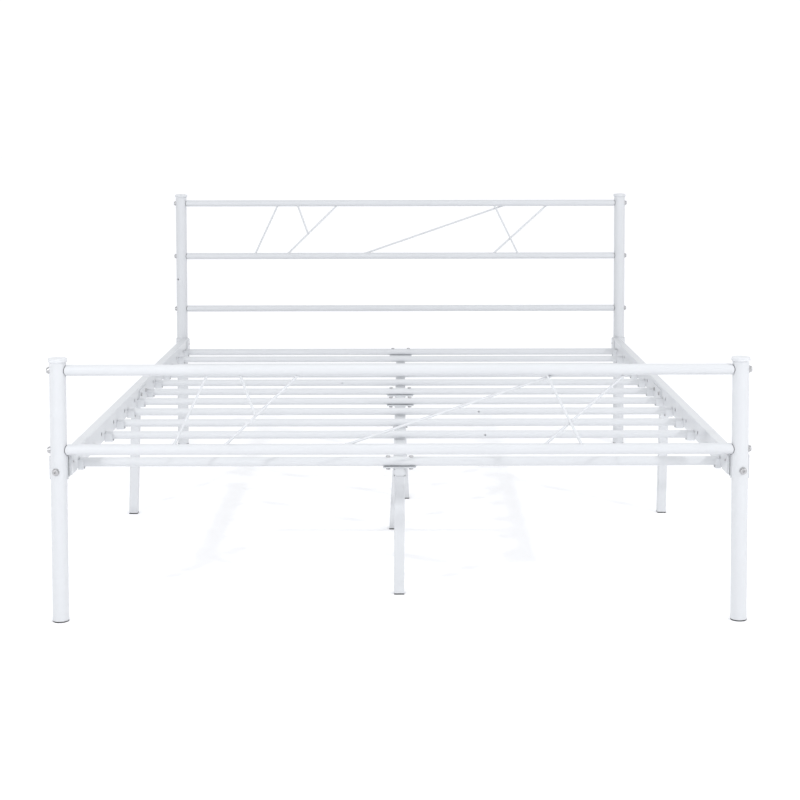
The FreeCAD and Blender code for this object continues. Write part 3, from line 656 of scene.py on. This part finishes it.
def points_along(start, end, spacing):
    """Evenly spaced points on a straight line."""
    count = max(4, round((end - start).length / spacing))
    return [start.lerp(end, i / count) for i in range(count + 1)]


def ring_under_plate(node, spacing):
    """Closed line round the top of a square leg, under the plate that it is welded to."""
    points = [v.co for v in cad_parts[node].data.vertices]
    floor = min(p.z for p in points)
    foot = [p for p in points if p.z < floor + MM]
    half = (max(p.x for p in foot) - min(p.x for p in foot)) / 2
    y = (max(p.y for p in foot) + min(p.y for p in foot)) / 2
    base = min(p.z for p in points if abs(p.y - y) > 1.5 * half)    # only the plate reaches so far
    top = [p for p in points if abs(p.z - base) < LEVEL and abs(p.y - y) < half + MM]
    x = (max(p.x for p in top) + min(p.x for p in top)) / 2
    flat = half - 2 * TUBE_WALL     # a square tube's corners are rounded by about twice its wall
    corners = []
    for turn in range(4):
        out = Matrix.Rotation(turn * math.pi / 2, 3, "Z")
        corners += points_along(out @ Vector((half, -flat, 0)), out @ Vector((half, flat, 0)), spacing)
    return [Vector((x, y, base)) + corner for corner in corners]


def section_of_centre_rail(node):
    """Height of the top of a centre rail's tube, under its plates, and half of the tube's width."""
    points = [v.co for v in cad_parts[node].data.vertices]
    top = max(p.z for p in points)
    tube_top = max(p.z for p in points if p.z < top - MM)
    return tube_top, max(abs(p.x) for p in points if p.z < tube_top - 2 * MM)


def make_piece(name, mesh, material_name):
    """Turns a bmesh into a smooth-shaded piece that rides on the frame."""
    bmesh.ops.recalc_face_normals(mesh, faces=mesh.faces)
    for face in mesh.faces:
        face.smooth = True
    data = bpy.data.meshes.new(name)
    mesh.to_mesh(data)
    mesh.free()
    data.materials.append(material_named(material_name))
    piece = bpy.data.objects.new(name, data)
    bpy.context.scene.collection.objects.link(piece)
    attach(piece, BODY)
    return piece


# Operators


class BED_OT_posts(Operator):
    """Finish the four posts"""

    bl_idname = "bed.posts"
    bl_label = "Posts"

    def execute(self, context):
        for node in nodes_named("foot_post", "head_post"):
            give_finish(node, "powder_coated_steel")
        return {"FINISHED"}


class BED_OT_caps(Operator):
    """Finish the moulded caps on the posts"""

    bl_idname = "bed.caps"
    bl_label = "Caps"

    def execute(self, context):
        for node in nodes_named("foot_cap", "head_cap"):
            give_finish(node, "moulded_polyethylene")
        return {"FINISHED"}


class BED_OT_board_rails(Operator):
    """Finish the round rails of the headboard and the footboard"""

    bl_idname = "bed.board_rails"
    bl_label = "Board rails"

    def execute(self, context):
        for node in nodes_named("headboard_rail", "footboard_rail"):
            give_finish(node, "powder_coated_steel")
            bare_inside(node, inside_round_rail(node))
        return {"FINISHED"}


class BED_OT_rods(Operator):
    """Finish the decorative rods and weld them to their rails"""

    bl_idname = "bed.rods"
    bl_label = "Rods"

    def execute(self, context):
        welds = context.scene.bed_welds
        for board, lower_rail in (("headboard", "middle"), ("footboard", "lower")):
            rods = {node[-1]: axis_of_rod(node) for node in nodes_named(board + "_rod")}
            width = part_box(board + "_rod_a")
            rod_radius = (width[1].y - width[0].y) / 2
            mesh = bmesh.new()
            for letter, (low, high) in rods.items():
                give_finish(f"{board}_rod_{letter}", "powder_coated_steel")
                middle = (low + high) / 2
                rail, rail_radius = centre_of_rail(board + "_rail_top")
                ring = ring_where_rod_meets(middle, high, rod_radius, rail, ACROSS, rail_radius)
                add_bead(mesh, ring, welds.rod_bead, True, welds)
                if letter == "b":
                    c_low, c_high = rods["c"]
                    ring = ring_where_rod_meets(
                        middle, low, rod_radius, c_low, (c_high - c_low).normalized(), rod_radius
                    )
                else:
                    rail, rail_radius = centre_of_rail(f"{board}_rail_{lower_rail}")
                    ring = ring_where_rod_meets(middle, low, rod_radius, rail, ACROSS, rail_radius)
                add_bead(mesh, ring, welds.rod_bead, True, welds)
            make_piece(board + "_rod_welds", mesh, "powder_coated_steel")
        return {"FINISHED"}


class BED_OT_side_rails(Operator):
    """Finish the halves of the side rails and the sleeves in their joints"""

    bl_idname = "bed.side_rails"
    bl_label = "Side rails"

    def execute(self, context):
        for node in nodes_named("side_rail"):
            give_finish(node, "powder_coated_steel")
            bare_inside(node, inside_side_rail(node))
        for node in nodes_named("rail_sleeve"):
            give_finish(node, "cold_drawn_steel")
        return {"FINISHED"}


class BED_OT_bars(Operator):
    """Finish the crossbars and the slats"""

    bl_idname = "bed.bars"
    bl_label = "Crossbars and slats"

    def execute(self, context):
        for node in nodes_named("head_crossbar", "foot_crossbar", "slat"):
            give_finish(node, "powder_coated_steel")
        return {"FINISHED"}


class BED_OT_holders(Operator):
    """Finish the moulded holders of the bar ends"""

    bl_idname = "bed.holders"
    bl_label = "Bar holders"

    def execute(self, context):
        for node in nodes_named("bar_holders"):
            give_finish(node, "moulded_nylon")
        return {"FINISHED"}


class BED_OT_centre_rail(Operator):
    """Finish the centre rail and its legs"""

    bl_idname = "bed.centre_rail"
    bl_label = "Centre rail and legs"

    def execute(self, context):
        welds = context.scene.bed_welds
        mesh = bmesh.new()
        for node in nodes_named("centre_leg"):
            give_finish(node, "powder_coated_steel")
            ring = ring_under_plate(node, welds.ripple / 4)
            add_bead(mesh, ring, welds.plate_bead, True, welds)
        for node in nodes_named("centre_rail"):
            give_finish(node, "powder_coated_steel")
            points = [v.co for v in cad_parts[node].data.vertices]
            top = max(p.z for p in points)
            plates = [p for p in points if p.z > top - LEVEL]
            tube_top, half_width = section_of_centre_rail(node)
            middle = (max(p.y for p in plates) + min(p.y for p in plates)) / 2
            for towards_head in (True, False):
                edges = [p.y for p in plates if (p.y > middle) == towards_head]
                inset = 2 * welds.plate_bead
                for x in (-half_width, half_width):
                    start = Vector((x, min(edges) + inset, tube_top))
                    end = Vector((x, max(edges) - inset, tube_top))
                    add_bead(mesh, points_along(start, end, welds.ripple / 4), welds.plate_bead, False, welds)
        make_piece("centre_welds", mesh, "powder_coated_steel")
        return {"FINISHED"}


class BED_OT_rail_plugs(Operator):
    """Close the ends of the centre rail with moulded plugs"""

    bl_idname = "bed.rail_plugs"
    bl_label = "Rail plugs"

    def execute(self, context):
        mesh = bmesh.new()
        for node in nodes_named("centre_rail"):
            low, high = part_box(node)
            tube_top, half_width = section_of_centre_rail(node)
            size = Vector((2 * (half_width - TUBE_WALL), PLUG_DEPTH, tube_top - low.z - 2 * TUBE_WALL))
            for y in (low.y + PLUG_RECESS + PLUG_DEPTH / 2, high.y - PLUG_RECESS - PLUG_DEPTH / 2):
                place = Matrix.Translation((0, y, (low.z + tube_top) / 2)) @ Matrix.Diagonal((*size, 1))
                corners = bmesh.ops.create_cube(mesh, size=1, matrix=place)["verts"]
                edges = {e for v in corners for e in v.link_edges}
                lengthways = [e for e in edges if abs(e.verts[0].co.y - e.verts[1].co.y) > PLUG_DEPTH / 2]
                bmesh.ops.bevel(
                    mesh, geom=lengthways, offset=PLUG_CORNER, segments=PLUG_CORNER_STEPS, affect="EDGES"
                )
        plugs = make_piece("centre_rail_plugs", mesh, "moulded_polyethylene")
        plugs.data.set_sharp_from_angle(angle=math.radians(PLUG_SHARP))
        return {"FINISHED"}


class BED_OT_side_legs(Operator):
    """Finish the side legs"""

    bl_idname = "bed.side_legs"
    bl_label = "Side legs"

    def execute(self, context):
        welds = context.scene.bed_welds
        mesh = bmesh.new()
        for node in nodes_named("side_leg"):
            give_finish(node, "powder_coated_steel")
            ring = ring_under_plate(node, welds.ripple / 4)
            add_bead(mesh, ring, welds.plate_bead, True, welds)
        make_piece("side_leg_welds", mesh, "powder_coated_steel")
        return {"FINISHED"}


class BED_OT_glides(Operator):
    """Finish the black glides under posts and legs"""

    bl_idname = "bed.glides"
    bl_label = "Glides"

    def execute(self, context):
        for node in nodes_named("post_glides", "leg_glides"):
            give_finish(node, "moulded_black_polyethylene")
        return {"FINISHED"}


class BED_OT_fasteners(Operator):
    """Finish the bolts, washers, nuts and screws"""

    bl_idname = "bed.fasteners"
    bl_label = "Fasteners"

    def execute(self, context):
        for node in nodes_named("post_bolts", "post_washers", "small_bolts", "nuts", "screws"):
            give_finish(node, "zinc_plated_steel")
        return {"FINISHED"}


class BED_OT_stage(Operator):
    """Make the floor, the lights and the camera"""

    bl_idname = "bed.stage"
    bl_label = "Stage"

    def execute(self, context):
        stage = context.scene.bed_stage
        make_floor(stage)
        make_world(stage)
        make_lamp("right_lamp", RIGHT_LAMP, LAMP_SIZE, stage.right_power)
        make_lamp("left_lamp", LEFT_LAMP, LAMP_SIZE, stage.left_power)
        make_lamp("overhead_lamp", OVERHEAD_LAMP, SOFT_BOX_SIZE, stage.overhead_power)
        make_camera(stage)
        context.scene.view_settings.view_transform = "Standard"
        return {"FINISHED"}


# Stage


def make_floor(stage):
    """Wide pale floor under the bed."""
    material, tree = new_material("painted_studio_floor")
    place = add_node(tree, "ShaderNodeTexCoord").outputs["Object"]
    mottle = add_node(
        tree, "ShaderNodeTexNoise", inputs={"Vector": place, "Scale": 1 / (250 * MM), "Detail": 3.0}
    ).outputs["Fac"]
    roughness = add_node(
        tree, "ShaderNodeMapRange",
        inputs={"Value": mottle, **NOISE_SPAN, "To Min": 0.85, "To Max": 0.95},
    ).outputs["Result"]
    distance = add_node(tree, "ShaderNodeVectorMath", {"operation": "LENGTH"}, {0: place}).outputs["Value"]
    glow = add_node(
        tree, "ShaderNodeMapRange",
        inputs={
            "Value": distance,
            "From Min": NEAR_FLOOR,
            "From Max": FAR_FLOOR,
            "To Min": NEAR_GLOW,
            "To Max": stage.floor_glow,
        },
    ).outputs["Result"]
    shader = add_node(
        tree, "ShaderNodeBsdfPrincipled",
        inputs={
            "Base Color": colour(stage.floor_colour),
            "Roughness": roughness,
            "Specular IOR Level": 0.2,
            "Emission Color": colour(stage.floor_colour),
            "Emission Strength": glow,
        },
    )
    finish_material(tree, shader)
    mesh = bmesh.new()
    bmesh.ops.create_circle(mesh, cap_ends=True, segments=FLOOR_SIDES, radius=FLOOR_RADIUS)
    data = bpy.data.meshes.new("floor")
    mesh.to_mesh(data)
    mesh.free()
    data.materials.append(material)
    floor = bpy.data.objects.new("floor", data)
    bpy.context.scene.collection.objects.link(floor)


def make_world(stage):
    """Wide soft light, strongest from beyond the head of the bed, above an even white horizon."""
    world = bpy.data.worlds.new("studio")
    world.use_nodes = True
    tree = world.node_tree
    direction = add_node(tree, "ShaderNodeTexCoord").outputs["Generated"]
    parts = add_node(tree, "ShaderNodeSeparateXYZ", inputs={"Vector": direction})
    dome = add_node(
        tree, "ShaderNodeMapRange",
        inputs={
            "Value": parts.outputs["Y"],
            "From Min": -1.0,
            "From Max": 1.0,
            "To Min": stage.front_strength,
            "To Max": stage.back_strength,
        },
    ).outputs["Result"]
    above = add_node(
        tree, "ShaderNodeMapRange",
        inputs={
            "Value": parts.outputs["Z"],
            "From Min": math.sin(math.radians(HORIZON_TOP)),
            "From Max": math.sin(math.radians(SKY_START)),
        },
    ).outputs["Result"]
    strength = add_node(
        tree, "ShaderNodeMix", {"data_type": "FLOAT"},
        {"Factor": above, "A": stage.horizon_strength, "B": dome},
    ).outputs["Result"]
    background = tree.nodes["Background"]
    background.inputs["Color"].default_value = colour(linear(SKY_COLOUR))
    tree.links.new(strength, background.inputs["Strength"])
    bpy.context.scene.world = world


def make_lamp(name, place, size, power):
    """Round lamp that points at the middle of the foot end, a third of the way up the headboard."""
    light = bpy.data.lights.new(name, "AREA")
    light.energy = power
    light.shape = "DISK"
    light.size = size
    lamp = bpy.data.objects.new(name, light)
    target = Vector((0, CAD_BOX[0][1], CAD_BOX[1][2] / 3))
    turn = (target - place).to_track_quat("-Z", "Y").to_matrix().to_4x4()
    lamp.matrix_world = Matrix.Translation(place) @ turn
    bpy.context.scene.collection.objects.link(lamp)


def make_camera(stage):
    """Camera at standing height beyond the foot of the bed, looking a little down."""
    camera = bpy.data.cameras.new("camera")
    camera.lens = stage.lens
    camera.sensor_width = SENSOR
    camera.shift_x, camera.shift_y = CAMERA_SHIFT
    holder = bpy.data.objects.new("camera", camera)
    holder.location = CAMERA_PLACE
    holder.rotation_euler = [math.radians(angle) for angle in CAMERA_TURN]
    bpy.context.scene.collection.objects.link(holder)
    bpy.context.scene.camera = holder


class BED_PT_panel(Panel):
    """Buttons for each group of pieces"""

    bl_label = "Steel bed frame"
    bl_idname = "BED_PT_panel"
    bl_space_type = "VIEW_3D"
    bl_region_type = "UI"
    bl_category = "Bed"

    def draw(self, context):
        for group in (context.scene.bed_finish, context.scene.bed_welds, context.scene.bed_stage):
            box = self.layout.box()
            for name in group.__annotations__:
                box.prop(group, name)
        for operator in OPERATORS:
            self.layout.operator(operator.bl_idname)


GROUPS = {"bed_finish": BedFinish, "bed_welds": BedWelds, "bed_stage": BedStage}
OPERATORS = (
    BED_OT_posts,
    BED_OT_caps,
    BED_OT_board_rails,
    BED_OT_rods,
    BED_OT_side_rails,
    BED_OT_bars,
    BED_OT_holders,
    BED_OT_centre_rail,
    BED_OT_rail_plugs,
    BED_OT_side_legs,
    BED_OT_glides,
    BED_OT_fasteners,
    BED_OT_stage,
)


def register():
    for cls in (*GROUPS.values(), *OPERATORS, BED_PT_panel):
        bpy.utils.register_class(cls)
    for name, group in GROUPS.items():
        setattr(bpy.types.Scene, name, PointerProperty(type=group))


def unregister():
    for name in GROUPS:
        delattr(bpy.types.Scene, name)
    for cls in (BED_PT_panel, *reversed(OPERATORS), *reversed(GROUPS.values())):
        bpy.utils.unregister_class(cls)


def main():
    register()
    for operator in OPERATORS:
        getattr(bpy.ops.bed, operator.bl_idname.split(".")[1])()


if __name__ == "__main__":
    main()
